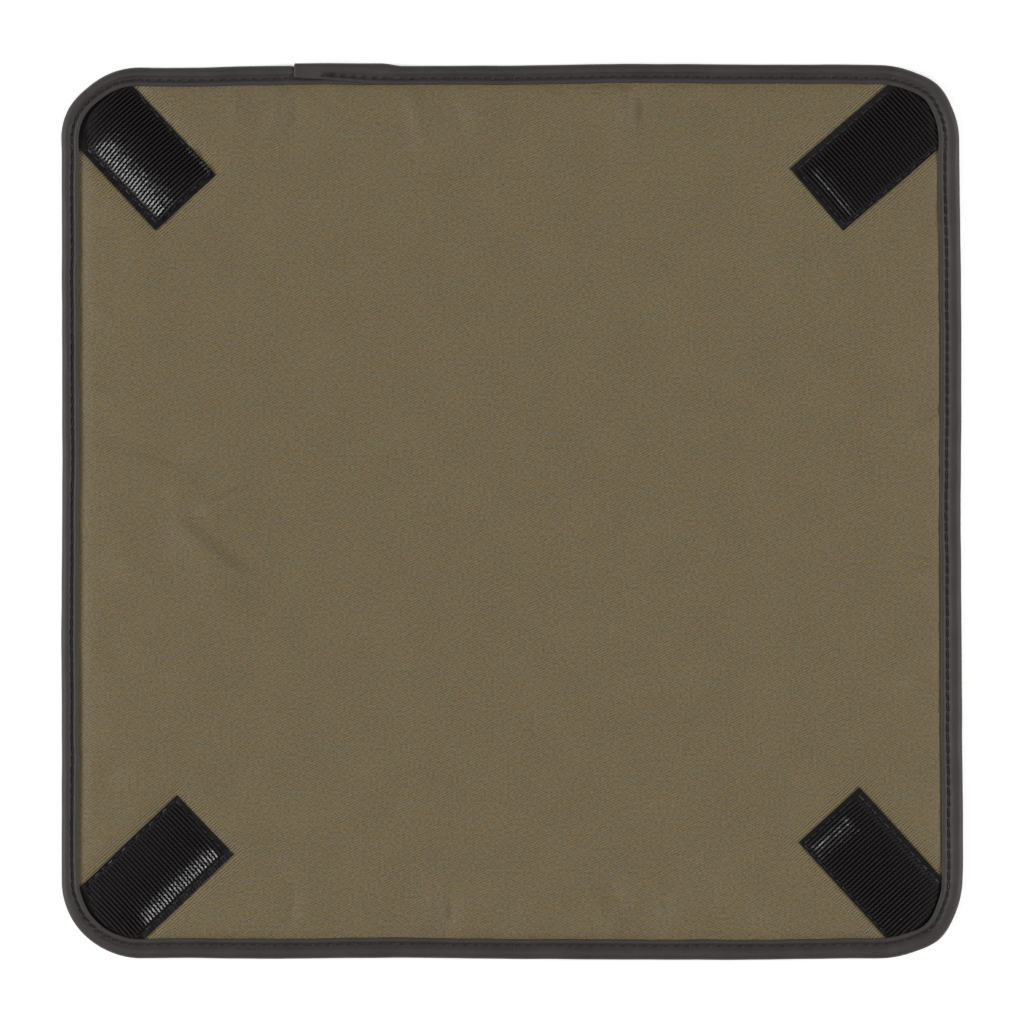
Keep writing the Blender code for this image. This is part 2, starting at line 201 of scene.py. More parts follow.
# Brushed nylon loop knit: a matt, slightly hairy olive with soft clumps of loops.
brushed_knit, tree, shader = new_finish("brushed_nylon_loop_knit")
cut = add(tree, "UVMap", {"uv_map": CUT_MAP}).outputs["UV"]
loops = add(tree, "TexVoronoi", {"Scale": 1 / 0.9, "Randomness": 0.9}, {"Vector": cut})
hairs = add(tree, "TexNoise", {"Scale": 2.2, "Detail": 5, "Roughness": 0.7}, {"Vector": cut})
nap = add(tree, "TexNoise", {"Scale": 0.05, "Detail": 3}, {"Vector": cut})
pile = add(tree, "Math", {"operation": "MULTIPLY_ADD", 1: -0.5}, {0: loops.outputs["Distance"],
                                                                   2: hairs.outputs["Fac"]})
tone = add(tree, "Math", {"operation": "MULTIPLY_ADD", 1: 0.5}, {0: nap.outputs["Fac"],
                                                                  2: pile.outputs["Value"]})
ramp = add(tree, "ValToRGB", {}, {"Fac": tone.outputs["Value"]})
ramp.color_ramp.elements[0].position, ramp.color_ramp.elements[0].color = 0.15, srgb("#574f3b")
ramp.color_ramp.elements[1].position, ramp.color_ramp.elements[1].color = 0.85, srgb("#7a6f55")
bump = add(tree, "Bump", {"Distance": 0.25 * MM, "Strength": 0.8}, {"Height": pile.outputs["Value"]})
tree.links.new(ramp.outputs["Color"], shader.inputs["Base Color"])
tree.links.new(bump.outputs["Normal"], shader.inputs["Normal"])
shader.inputs["Roughness"].default_value = 0.95
shader.inputs["IOR"].default_value = 1.53
shader.inputs["Sheen Weight"].default_value = 0.12
shader.inputs["Sheen Roughness"].default_value = 0.5

REGIONS = ("centre", *CORNERS)
KNIT_EASE = 5.4 * MM              # half of what this face gains in length round a fold
outer_pieces = {}
for region in REGIONS:

    def knit_place(x, y):
        """Flat places, spread over the corner's fold line as far as for a half folded corner."""
        sx, sy = CORNERS.get(region, (0, 0))
        outward = (x * sx + y * sy) / math.sqrt(2)
        ahead = KNIT_EASE * smooth((outward - FOLD_DISTANCE + BEND) / (2 * BEND)) / math.sqrt(2)
        return np.stack([x + sx * ahead, y + sy * ahead], axis=-1)

    flat = flat_cloth(region, CLOTH_CELL)
    area = sum(face.calc_area() for face in flat.faces)
    piece = closed_sheet("outer_cloth_of_" + region, flat, outer_top, outer_bottom, brushed_knit,
                         knit_place)
    outer_pieces[region] = piece, area
    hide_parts("outer_cloth_" + region)


# Foam, one square of thin polyurethane sheet between the two cloths. The tape pinches it at the
# edge, and from there it swells to its full thickness. It doesn't show.
FOAM = 3.2 * MM
FOAM_PINCHED = 0.75 * MM
FOAM_CELL = 2.8 * MM
LINING = 0.4 * MM
LINING_CELL = 1.1 * MM
FOAM_EDGE_TOP = TAPE + GAP + OUTER_CLOTH + GAP + FOAM_PINCHED
FOAM_TOP = OUTER_CLOTH + GAP + FOAM

# Creases of the lining: the places that one runs through in mm, from its deepest end at the edge to
# where it fades, its half width, and its height, or depth where it is negative
CREASES = [
    ([(-85.4, 131), (-85.4, 116)], 2.2, 1.2), ([(-70.5, 132), (-73, 121), (-77.4, 109)], 2.2, 1.9),
    ([(-66.5, 131), (-69, 121), (-73, 110)], 2.0, -1.2), ([(-57, 131), (-56, 122)], 1.5, -0.9),
    ([(-31.2, 131), (-28, 118), (-24, 106)], 2.8, 2.0),
    ([(-19.4, 131), (-17, 121), (-13.5, 107)], 2.1, -1.8),
    ([(13, 131), (13.4, 124)], 1.6, 0.9), ([(27, 131), (26.8, 125)], 1.5, 0.8),
    ([(34.9, 132), (35, 122), (35, 112)], 1.8, 2.0), ([(38.6, 131), (38.8, 117)], 1.9, -1.6),
    ([(60, 131), (59, 122)], 2.2, -1.1),
    ([(-69, -131), (-69, -114)], 2.0, -1.6), ([(-60, -128), (-63, -116), (-72, -105)], 3.6, 1.9),
    ([(-24, -131), (-25, -111)], 2.3, 1.6), ([(-20.5, -131), (-20, -114)], 2.0, -1.8),
    ([(-0.8, -131), (-0.8, -114)], 2.0, -1.6), ([(17, -131), (15, -119)], 1.8, -0.8),
    ([(35, -130), (30, -116), (24, -108), (8.5, -95.6)], 3.4, 2.3), ([(30.2, -131), (27, -116)], 2.0, -1.8),
    ([(47.3, -131), (46.8, -112)], 2.0, -1.9), ([(62.8, -128), (58.5, -112), (67.5, -96)], 3.4, 2.0),
    ([(76.7, -131), (76.5, -112)], 2.3, -1.6),
    ([(131.5, -16), (124, -16), (115, -15)], 1.7, -1.4), ([(131.5, -55), (121, -52)], 1.8, -1.2),
    ([(131.5, 30), (122, 30.5)], 1.8, -1.1), ([(131.5, 90), (121, 84)], 1.9, -1.1),
    ([(131, -33), (122, -34)], 1.8, -0.8), ([(-131, 62), (-120, 58)], 2.0, 1.1),
    ([(-131, -84), (-117, -80)], 3.0, -1.2), ([(-131, 40), (-120, 41)], 1.8, -1.1),
    ([(-131, -40), (-118, -44)], 2.4, -1.1),
]
# Dents where the pad was pressed on the left: these fade towards both of their ends
DENTS = [
    ([(-132.6, 21.2), (-118, 19.5), (-106, 16.3), (-97, 13)], 1.4, -0.9),
    ([(-108, 5), (-101, 7.6), (-96, 9)], 3.5, 0.8), ([(-128, -9), (-116, -19), (-102, -30)], 4.5, 0.9),
    ([(-93, -92), (-78, -74)], 4.0, -0.6),
]
# Buckles beside them: the pad stands up to the right of each line, which runs through these places;
# half width of its steep face, height, and how far the raised part reaches
BUCKLES = [
    ([(-106, 2), (-98, -5), (-89, -14), (-73, -25)], 2.1, 2.9, 13),
    ([(-101, 0), (-90, 5), (-79, 10)], 1.3, 1.8, 8),
]
RIPPLES = 34                      # small puckers that the stitches draw in, along each side
RIPPLE_DEPTHS = 0.15, 0.6         # mm
WAVE_HEIGHT = 0.3                 # mm, of the slow waves of the whole lining
RELIEF_CELL = 0.7 * MM
# The sewn tabs: free end from the corner, sideways slip, lean in degrees, how far their seams pull
# the pad down, how far the tape bows up between them, and how far its rows of hooks bow, all in mm
# but the lean
TAB_PLACES = {
    "rear_left": (58.2, 3.9, -1.9, 1.2, 1.1, -0.9),
    "rear_right": (62.5, 1.7, -4.4, 0.6, 0.4, -0.4),
    "front_left": (61.5, 1.3, -1.4, 1.2, 0.9, 0.5),
    "front_right": (61.7, 2.9, -2.6, 0.7, 0.5, 0.4),
}
TAB_WIDTH = 25.4 * MM
TAB_SEAMS = (-11.9 * MM, 10.95 * MM)
TAB_END_SEAM = 1.5 * MM


def along_line(points, x, y):
    """Share of the way along a line of points, distance from it, and on which side (1 is left)."""
    points = np.array(points)
    lengths = np.hypot(*np.diff(points, axis=0).T)
    best, share, side = np.full(x.shape, np.inf), np.zeros_like(x), np.ones_like(x)
    for number, (start, way) in enumerate(zip(points, np.diff(points, axis=0) / lengths[:, None])):
        run = np.clip((x - start[0]) * way[0] + (y - start[1]) * way[1], 0, lengths[number])
        off_x, off_y = x - start[0] - run * way[0], y - start[1] - run * way[1]
        distance = np.hypot(off_x, off_y)
        nearer = distance < best
        share = np.where(nearer, (lengths[:number].sum() + run) / lengths.sum(), share)
        side = np.where(nearer, np.sign(way[0] * off_y - way[1] * off_x), side)
        best = np.minimum(best, distance)
    return share, best, side


def tab_frame(corner):
    """Place of a tab: origin at the middle of its free end, +X along it to its corner."""
    sx, sy = CORNERS[corner]
    setback, slip, lean = TAB_PLACES[corner][:3]
    diagonal = math.atan2(sy, sx)
    along = Vector((math.cos(diagonal), math.sin(diagonal), 0))
    across = Vector((-along.y, along.x, 0))
    place = Vector((sx * HALF, sy * HALF, 0)) - along * setback * MM + across * slip * MM
    return Matrix.Translation(place) @ Matrix.Rotation(diagonal + math.radians(lean), 4, 'Z')


def on_tab(corner, x, y):
    """Places along and across a tab, from places on the wrap."""
    turn = np.array(tab_frame(corner))
    x, y = x - turn[0, 3], y - turn[1, 3]
    return x * turn[0, 0] + y * turn[1, 0], x * turn[0, 1] + y * turn[1, 1]


def tab_dips(x, y):
    """Depth in mm to which the tabs' seams pull the pad down."""
    total = np.zeros_like(x)
    for corner in CORNERS:
        u, v = on_tab(corner, x, y)
        inside = np.minimum(np.minimum(v - TAB_SEAMS[0], TAB_SEAMS[1] - v), u - TAB_END_SEAM) / MM
        beside = 1 + 0.25 * np.sin(u / MM * 1.1) * np.sin(v / MM * 0.9)
        share = np.where(inside > 0, 1 - smooth(inside / 9), np.exp(-(inside / 3.2) ** 2) * beside)
        total += TAB_PLACES[corner][3] * share
    return total


def crease_relief(x, y):
    """Height in mm that creases, dents, buckles, ripples and slow waves add at places in mm."""
    total = WAVE_HEIGHT * np.sin(x / 17 + 1.3 * np.sin(y / 31)) * np.sin(y / 23 + 0.7)
    for points, half, height in CREASES:
        share, distance, _ = along_line(points, x, y)
        fade = (1 - share ** 2) * smooth(0.22 + 1.7 * share)
        total += height * fade * np.exp(-(distance / (half * (1 + 0.6 * share))) ** 2)
    for points, half, height in DENTS:
        share, distance, _ = along_line(points, x, y)
        total += height * smooth(3 * np.minimum(share, 1 - share)) * np.exp(-(distance / half) ** 2)
    for points, half, height, reach in BUCKLES:
        share, distance, side = along_line(points, x, y)
        raised = (1 - np.tanh(side * distance / half)) / 2 * np.exp(-(distance / reach) ** 2)
        total += height * raised * smooth(3 * np.minimum(share, 1 - share))
    rng = np.random.default_rng(3)
    half_side = HALF / MM
    for along, inward in ((x, half_side - y), (x, half_side + y), (y, half_side - x), (y, half_side + x)):
        for place in np.linspace(-half_side, half_side, RIPPLES + 1):
            place, half, reach = place + rng.normal(0, 3), rng.uniform(0.9, 2), rng.uniform(3, 9)
            depth = rng.uniform(*RIPPLE_DEPTHS)
            fade = smooth(1 - (inward - 6) / reach)
            total -= depth * fade * np.exp(-((along - place) / half) ** 2)
    return total


grid_line = np.arange(-HALF - RELIEF_CELL, HALF + 2 * RELIEF_CELL, RELIEF_CELL)
grid = np.meshgrid(grid_line, grid_line, indexing="ij")
RELIEF = (crease_relief(grid[0] / MM, grid[1] / MM) - tab_dips(*grid)) * MM


def relief(x, y):
    """Height that is added to the lining, read from the grid."""
    column = np.clip((x - grid_line[0]) / RELIEF_CELL, 0, len(grid_line) - 1.001)
    row = np.clip((y - grid_line[0]) / RELIEF_CELL, 0, len(grid_line) - 1.001)
    i, j = column.astype(int), row.astype(int)
    a, b = column - i, row - j
    near = RELIEF[i, j] * (1 - b) + RELIEF[i, j + 1] * b
    far = RELIEF[i + 1, j] * (1 - b) + RELIEF[i + 1, j + 1] * b
    return (near * (1 - a) + far * a) * smooth((depth_inside(x, y) - SWELL_START) / (2 * MM))


def lining_top(x, y):
    near = np.clip((depth_inside(x, y) - SWELL_START) / LIP_SWELL, 0, 1)
    far = np.clip((depth_inside(x, y) - SWELL_START) / SWELL_WIDTH, 0, 1)
    swell = 1 - (1 - near) ** 2 / 2 - (1 - far) ** 2 / 2
    return FOAM_EDGE_TOP + (FOAM_TOP - FOAM_EDGE_TOP) * swell + GAP + LINING + relief(x, y)


def lining_bottom(x, y):
    return lining_top(x, y) - LINING


def foam_top(x, y):
    return lining_bottom(x, y) - GAP / 2


def foam_bottom(x, y):
    return outer_top(x, y) + GAP / 2


# Polyurethane foam: dark grey, with open cells under a millimetre wide.
foam_finish, tree, shader = new_finish("polyurethane_foam")
cut = add(tree, "UVMap", {"uv_map": CUT_MAP}).outputs["UV"]
cells = add(tree, "TexVoronoi", {"Scale": 1 / 0.7}, {"Vector": cut})
ramp = add(tree, "ValToRGB", {}, {"Fac": cells.outputs["Distance"]})
ramp.color_ramp.elements[0].color, ramp.color_ramp.elements[1].color = srgb("#3a3a3a"), srgb("#5c5c5a")
bump = add(tree, "Bump", {"Distance": 0.3 * MM}, {"Height": cells.outputs["Distance"]})
tree.links.new(ramp.outputs["Color"], shader.inputs["Base Color"])
tree.links.new(bump.outputs["Normal"], shader.inputs["Normal"])
shader.inputs["Roughness"].default_value = 1.0

for region in REGIONS:
    piece = closed_sheet("foam_of_" + region, flat_cloth(region, FOAM_CELL), foam_top, foam_bottom,
                         foam_finish)
    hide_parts("foam_" + region)
    if region in CORNERS:
        follow_fold(piece, region)
    else:
        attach(piece, "centre")


# Lining, the inner face. One square of olive nylon twill, sewn in with the other layers under the
# edge tape, which draws it into small puckers. It is a little slack after use, so it creases.
# The ribs of the twill rise to the right, 0.75 mm apart, and short floats cross them. They stand out
# where the tabs' seams pull the cloth.
STRAIN = "strain"                 # share of that pull, at each point of the cloth


def strained(piece):
    """Give a sheet its pull by the tabs."""
    places = np.empty(len(piece.data.vertices) * 3)
    piece.data.vertices.foreach_get("co", places)
    x, y = places[0::3], places[1::3]
    pull = np.zeros_like(x)
    for corner in CORNERS:
        u, v = on_tab(corner, x, y)
        beside = np.hypot(np.maximum(-u, 0), np.maximum(np.abs(v) - TAB_WIDTH / 2, 0)) / MM
        pull = np.maximum(pull, np.exp(-(beside / 4.5) ** 2))
    piece.data.attributes.new(STRAIN, 'FLOAT', 'POINT').data.foreach_set("value", pull)


# Olive nylon twill: dull, with fine diagonal ribs, a grain of fine yarns, and faint level bands of
# orange and grey-green where two colours of yarn beat.
twill, tree, shader = new_finish("olive_nylon_twill")
cut = add(tree, "UVMap", {"uv_map": CUT_MAP}).outputs["UV"]
wander = add(tree, "TexNoise", {"Scale": 0.35, "Detail": 2}, {"Vector": cut})
yarn = add(tree, "TexNoise", {"Scale": 1.2, "Detail": 5, "Roughness": 0.8}, {"Vector": cut})
# Slow light and dark patches over the twill: partly the cloth's own uneven tone, partly painted shade
# standing for broad folds and light falling off across the cloth.
slow_tone_and_painted_shade = add(tree, "TexNoise", {"Scale": 0.07, "Detail": 4}, {"Vector": cut})
strain = add(tree, "Attribute", {"attribute_name": STRAIN}).outputs["Fac"]


def lines(count_x, count_y, sway, wandering):
    """Soft parallel lines, so many per millimetre across each axis, from -1 to 1."""
    run = add(tree, "VectorMath", {"operation": "DOT_PRODUCT",
                                   1: (math.tau * count_x, math.tau * count_y, 0)}, {0: cut})
    swayed = add(tree, "Math", {"operation": "MULTIPLY_ADD", 1: sway},
                 {0: wandering.outputs["Fac"], 2: run.outputs["Value"]})
    return add(tree, "Math", {"operation": "SINE"}, {0: swayed.outputs["Value"]}).outputs["Value"]


def plus(value, share, rest):
    """The value times its share, and the rest added."""
    made = add(tree, "Math", {"operation": "MULTIPLY_ADD", 1: share}, {0: value})
    if isinstance(rest, float):
        made.inputs[2].default_value = rest
    else:
        tree.links.new(rest, made.inputs[2])
    return made.outputs["Value"]


weave = plus(slow_tone_and_painted_shade.outputs["Fac"], 0.2, -0.65)
weave = plus(yarn.outputs["Fac"], 2.2, weave)
weave = plus(lines(-0.58, 1.21, 5.0, wander), 0.2, weave)
weave = plus(lines(1.58, 0.81, 4.0, wander), 0.12, weave)
pulled = add(tree, "Math", {"operation": "MULTIPLY"}, {0: lines(-0.81, 0.9, 3.0, wander), 1: strain})
weave = plus(pulled.outputs["Value"], 0.42, weave)
ramp = add(tree, "ValToRGB", {}, {"Fac": weave})
ramp.color_ramp.elements[0].position, ramp.color_ramp.elements[0].color = 0.0, srgb("#423524")
ramp.color_ramp.elements[1].position, ramp.color_ramp.elements[1].color = 1.0, srgb("#857357")
fibre = add(tree, "TexNoise", {"Scale": 1.9, "Detail": 2}, {"Vector": cut})
stretched = add(tree, "Mapping", {"Rotation": (0, 0, 0.09), "Scale": (0.2, 1.0, 1)}, {"Vector": cut})
beat = add(tree, "TexNoise", {"Scale": 0.13, "Detail": 3}, {"Vector": cut})
patches = add(tree, "TexNoise", {"Scale": 0.6, "Detail": 3}, {"Vector": stretched.outputs["Vector"]})
tint = plus(lines(0.075, 0.645, 11.0, beat), 0.6, -0.5)
tint = plus(fibre.outputs["Fac"], 1.0, plus(patches.outputs["Fac"], 1.0, tint))
hue = add(tree, "ValToRGB", {}, {"Fac": tint})
hue.color_ramp.elements[0].position, hue.color_ramp.elements[0].color = 0.0, srgb("#edffff")
hue.color_ramp.elements[1].position, hue.color_ramp.elements[1].color = 1.0, srgb("#fff7ce")
tinted = add(tree, "Mix", {"data_type": "RGBA", "blend_type": "MULTIPLY", "Factor": 1.0})
tree.links.new(ramp.outputs["Color"], tinted.inputs[6])
tree.links.new(hue.outputs["Color"], tinted.inputs[7])
bump = add(tree, "Bump", {"Distance": 0.08 * MM, "Strength": 0.8}, {"Height": weave})
tree.links.new(tinted.outputs[2], shader.inputs["Base Color"])
tree.links.new(bump.outputs["Normal"], shader.inputs["Normal"])
shader.inputs["Roughness"].default_value = 0.65
shader.inputs["IOR"].default_value = 1.53

for region in REGIONS:
    flat = flat_cloth(region, LINING_CELL)
    area = sum(face.calc_area() for face in flat.faces)
    piece = closed_sheet("lining_of_" + region, flat, lining_top, lining_bottom, twill)
    strained(piece)
    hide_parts("lining_" + region)
    if region in CORNERS:
        follow_fold(piece, region)
        follow_fold(outer_pieces[region][0], region)
    else:
        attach(piece, "centre")
        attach(outer_pieces[region][0], "centre")


# Hook tape tabs, 1 inch wide nylon tape with rows of stiff hooks. One lies across each corner, its
# two long edges and its free end sewn down to the lining and its other end under the edge tape.
TAB_BASE = 0.45 * MM
TAB_CELL = 0.235 * MM
TAB_TUCK = 2.6 * MM               # of its trimmed end inside the outside of the edge tape
TAB_RIB = 0.13 * MM               # height of the weave's ribs
SEAM_DEPTH = 0.25 * MM            # of the groove that a row of thread pulls down
SEAM_HALF = 0.5 * MM              # half of its width
HOOKS_INSIDE = 7.4 * MM           # of the outside of the edge tape
THREAD_INSIDE = 7 * MM
HOOK_PITCH = 1.17 * MM            # between rows, along the tab
HOOK_SPACING = 0.62 * MM          # between hooks in a row
FIELD_LOW, FIELD_HIGH = -11.3 * MM, 10.4 * MM
HOOK_THICK = 0.07 * MM            # half of it, across the bend
# Where hooks lean, as the sewn tape bends there: along the tab, across it, the lean's slope
# towards +X of the wrap, and the width over which it fades out across the tab
HOOK_LEAN = {
    "rear_left": ((2, 33), (7.0, 9.8), 0.46, 19),
    "front_left": ((3, 36), (7.4, 10.4), -0.53, 10),
    "rear_right": ((3.7, 7.6), (-9, 8), 0.43, 8.5),
    "front_right": ((3.4, 9.0), (-11, 4), 0.42, 8.5),
}
HOOKED_EDGE = {"rear_left": 12 * MM}   # from the free end, where hooks run on to the low edge
FIELD_START = 2.6 * MM
rng = np.random.default_rng(7)


def tab_swell(corner, u, v):
    """Height of the tape between its sewn edges."""
    off_middle = np.clip(np.abs(v + 0.45 * MM) / (10.9 * MM), 0, 1)
    free_end = smooth((u - 1.6 * MM) / (6 * MM)) * 0.7 + smooth((u - 1.6 * MM) / (14 * MM)) * 0.3
    swell = TAB_PLACES[corner][4] * MM * (1 - off_middle ** 1.9) * free_end
    return swell * smooth((tab_depth(corner, u, v) - 7 * MM) / (9 * MM))


def tab_ribs(corner, u, v):
    """Ribs of the tape's weave, and the lines that its thread pulls down."""
    ribs = TAB_RIB * np.cos(math.tau * ((u - row_bow(corner, v)) / HOOK_PITCH + 0.5))
    seams = sum(np.exp(-((v - seam) / SEAM_HALF) ** 2) for seam in TAB_SEAMS)
    end_seam = np.exp(-((u - TAB_END_SEAM) / SEAM_HALF) ** 2)
    fade = smooth((tab_depth(corner, u, v) - 6.3 * MM) / MM)
    sewn = np.clip(seams + end_seam, 0, 1)
    return (ribs * (1 - sewn) - SEAM_DEPTH * sewn) * fade


def tab_raised(corner, u, v):
    return tab_swell(corner, u, v) + tab_ribs(corner, u, v)


def tab_depth(corner, u, v):
    """Distance inward from the outside of the edge tape, at a place on a tab."""
    turn = np.array(tab_frame(corner))
    return depth_inside(turn[0, 0] * u + turn[0, 1] * v + turn[0, 3],
                        turn[1, 0] * u + turn[1, 1] * v + turn[1, 3])


def row_bow(corner, v):
    """How far the rows of hooks run ahead of straight, at a place across the tab."""
    return TAB_PLACES[corner][5] * MM * (v / (11 * MM)) ** 2 * np.where(v > 0, 1, 0.3)


def hook_lean(corner, u, v):
    """Slopes of the hooks' tops along and across a tab."""
    (low_u, high_u), (low_v, high_v), slope, width = HOOK_LEAN[corner]
    along = smooth((u / MM - low_u + 1) / 2) * smooth((high_u + 4 - u / MM) / 8)
    share = along * smooth((v / MM - low_v) / width + 0.83) * smooth((high_v + 1.4 - v / MM) / 2.4)
    share = np.where(v < FIELD_LOW, 0.6, share)
    turn = np.array(tab_frame(corner))
    return slope * share * turn[0, 0], slope * share * turn[0, 1]


def skin(name, rings, finish, flat=None, sharp=60):
    """One mesh of tubes: rings[tube, ring, point] are places, and each tube is capped at its ends."""
    tubes, steps, sides = rings.shape[:3]
    number = np.arange(tubes * steps * sides).reshape(tubes, steps, sides)
    following = np.roll(number, -1, axis=2)
    quads = np.stack([number[:, :-1], number[:, 1:], following[:, 1:], following[:, :-1]], axis=-1)
    faces = quads.reshape(-1, 4).tolist()
    faces += number[:, 0].tolist() + number[:, -1, ::-1].tolist()
    mesh = bpy.data.meshes.new(name)
    mesh.from_pydata(rings.reshape(-1, 3), [], faces)
    mesh.materials.append(finish)
    if flat is not None:
        corners = np.empty(len(mesh.loops), int)
        mesh.loops.foreach_get("vertex_index", corners)
        places = flat.reshape(-1, 2)[corners] / MM
        mesh.uv_layers.new(name=CUT_MAP).data.foreach_set("uv", places.ravel())
    mesh.shade_smooth()
    mesh.set_sharp_from_angle(angle=math.radians(sharp))
    piece = bpy.data.objects.new(name, mesh)
    bpy.context.scene.collection.objects.link(piece)
    return piece


def to_world(frame_matrix, u, v, z):
    """Places on a tab in world coordinates, as an array of points."""
    turn = np.array(frame_matrix)
    x = turn[0, 0] * u + turn[0, 1] * v + turn[0, 3]
    y = turn[1, 0] * u + turn[1, 1] * v + turn[1, 3]
    return np.stack([x, y, z + lining_top(x, y)], axis=-1)


# Black woven nylon: dark, faintly glossy ribs across the tape.
tape_nylon, tree, shader = new_finish("black_woven_nylon")
cut = add(tree, "UVMap", {"uv_map": CUT_MAP}).outputs["UV"]
grain = add(tree, "TexNoise", {"Scale": 2.5, "Detail": 4}, {"Vector": cut})
ramp = add(tree, "ValToRGB", {}, {"Fac": grain.outputs["Fac"]})
ramp.color_ramp.elements[0].color, ramp.color_ramp.elements[1].color = srgb("#080606"), srgb("#1a1616")
bump = add(tree, "Bump", {"Distance": 0.06 * MM}, {"Height": grain.outputs["Fac"]})
tree.links.new(ramp.outputs["Color"], shader.inputs["Base Color"])
tree.links.new(bump.outputs["Normal"], shader.inputs["Normal"])
shader.inputs["Roughness"].default_value = 0.6
shader.inputs["IOR"].default_value = 1.53
shader.inputs["Specular IOR Level"].default_value = 0.15

# Black nylon monofilament of the hooks: drawn plastic, smooth enough to catch small highlights.
filament, tree, shader = new_finish("black_nylon_filament")
cut = add(tree, "TexCoord", {}).outputs["Object"]
grain = add(tree, "TexNoise", {"Scale": 900, "Detail": 1}, {"Vector": cut})
ramp = add(tree, "ValToRGB", {}, {"Fac": grain.outputs["Fac"]})
ramp.color_ramp.elements[0].color, ramp.color_ramp.elements[1].color = srgb("#141111"), srgb("#252020")
tree.links.new(ramp.outputs["Color"], shader.inputs["Base Color"])
shader.inputs["Roughness"].default_value = 0.3
shader.inputs["IOR"].default_value = 1.53

for corner in CORNERS:
    place = tab_frame(corner)
    length = TAB_PLACES[corner][0] * MM

    def local(x, y):
        return np.stack(on_tab(corner, x, y), axis=-1)

    def tab_top(x, y):
        return lining_top(x, y) + TAB_BASE + tab_raised(corner, *on_tab(corner, x, y))

    def tab_bottom(x, y):
        lift = tab_raised(corner, *on_tab(corner, x, y))
        return lining_top(x, y) + 0.03 * MM + np.maximum(lift - 0.3 * MM, 0)

    bm = bmesh.new()
    bmesh.ops.create_grid(bm, x_segments=round(length / TAB_CELL), y_segments=44, size=0.5,
                          matrix=Matrix.Translation((0.5, 0, 0)))
    bmesh.ops.scale(bm, verts=bm.verts, vec=(length, TAB_WIDTH, 1))
    bmesh.ops.transform(bm, matrix=place, verts=bm.verts)
    trim(bm, corner_cuts(corner, TAB_TUCK))
    base = closed_sheet("hook_tape_" + corner, bm, tab_top, tab_bottom, tape_nylon, local)
    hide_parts("hook_tab_" + corner)
    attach(base, "corner_" + corner)

    rows = np.arange(FIELD_START, length, HOOK_PITCH)
    columns = np.arange(FIELD_LOW + 0.4 * MM - 2 * HOOK_SPACING, FIELD_HIGH - 0.3 * MM, HOOK_SPACING)
    u, v = np.meshgrid(rows, columns, indexing="ij")
    u = u + np.where(np.arange(len(columns)) % 2, 0.05, -0.05) * MM
    u = u + rng.normal(0, 0.015 * MM, u.shape)
    v = v + rng.normal(0, 0.015 * MM, v.shape)
    u = u + row_bow(corner, v)
    tall = rng.normal(1, 0.03, u.shape)
    spot = to_world(place, u, v, np.zeros_like(u))
    kept = (v > FIELD_LOW) | (u < HOOKED_EDGE.get(corner, 0))
    kept &= depth_inside(spot[..., 0], spot[..., 1]) > HOOKS_INSIDE
    u, v, tall = u[kept], v[kept], tall[kept]
    # A hook's bent filament: sideways place, height and half width at each ring
    bend = np.array([(-0.27, -0.2, 0.2), (-0.3, 0.42, 0.22), (-0.26, 0.7, 0.25), (0.26, 0.7, 0.25),
                     (0.3, 0.52, 0.22)]) * MM
    path_v, path_z, thick = bend.T
    lean_v, lean_z = np.gradient(path_v), np.gradient(path_z)
    size = np.hypot(lean_v, lean_z)
    turns = (np.arange(4) + 0.5) * math.tau / 4
    ring_u = np.outer(thick, np.cos(turns)) * math.sqrt(2)
    ring_v = path_v[:, None] - np.outer(HOOK_THICK * lean_z / size, np.sin(turns))
    ring_z = path_z[:, None] + np.outer(HOOK_THICK * lean_v / size, np.sin(turns))
    slope_u, slope_v = hook_lean(corner, u, v)
    slope_u, slope_v = slope_u + rng.normal(0, 0.04, u.shape), slope_v + rng.normal(0, 0.04, u.shape)
    u, v, tall, slope_u, slope_v = (values[:, None, None] for values in (u, v, tall, slope_u, slope_v))
    base_z = TAB_BASE + tab_swell(corner, u, v) + slope_u * ring_u + slope_v * ring_v
    low = smooth((depth_inside(spot[..., 0], spot[..., 1])[kept] - 7 * MM) / (4 * MM))[:, None, None]
    rings = to_world(place, u + ring_u, v + ring_v, base_z)
    ground = to_world(place, u, v, 0 * u)[..., 2]
    rings[..., 2] = ground + base_z + ring_z * tall * (0.5 + 0.5 * low)
    hooks = skin("hooks_" + corner, rings, filament, sharp=20)
    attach(hooks, "corner_" + corner)


# Thread of the tabs: bonded black polyester, one row down each long edge and one across the free
# end, pulled down into the tape.
STITCH = 2.9 * MM
STITCH_THREAD = 0.19 * MM         # half of its thickness
SEAM_LENGTH = 50 * MM
thread_shares = np.linspace(0, 1, 9)
turns = np.arange(6) * math.tau / 6

# Bonded polyester thread: black with a low sheen.
thread_finish, tree, shader = new_finish("bonded_polyester_thread")
cut = add(tree, "TexCoord", {}).outputs["Object"]
twist = add(tree, "TexNoise", {"Scale": 1500, "Detail": 2}, {"Vector": cut})
ramp = add(tree, "ValToRGB", {}, {"Fac": twist.outputs["Fac"]})
ramp.color_ramp.elements[0].color, ramp.color_ramp.elements[1].color = srgb("#0d0c0c"), srgb("#2b2828")
tree.links.new(ramp.outputs["Color"], shader.inputs["Base Color"])
shader.inputs["Roughness"].default_value = 0.45
shader.inputs["IOR"].default_value = 1.57

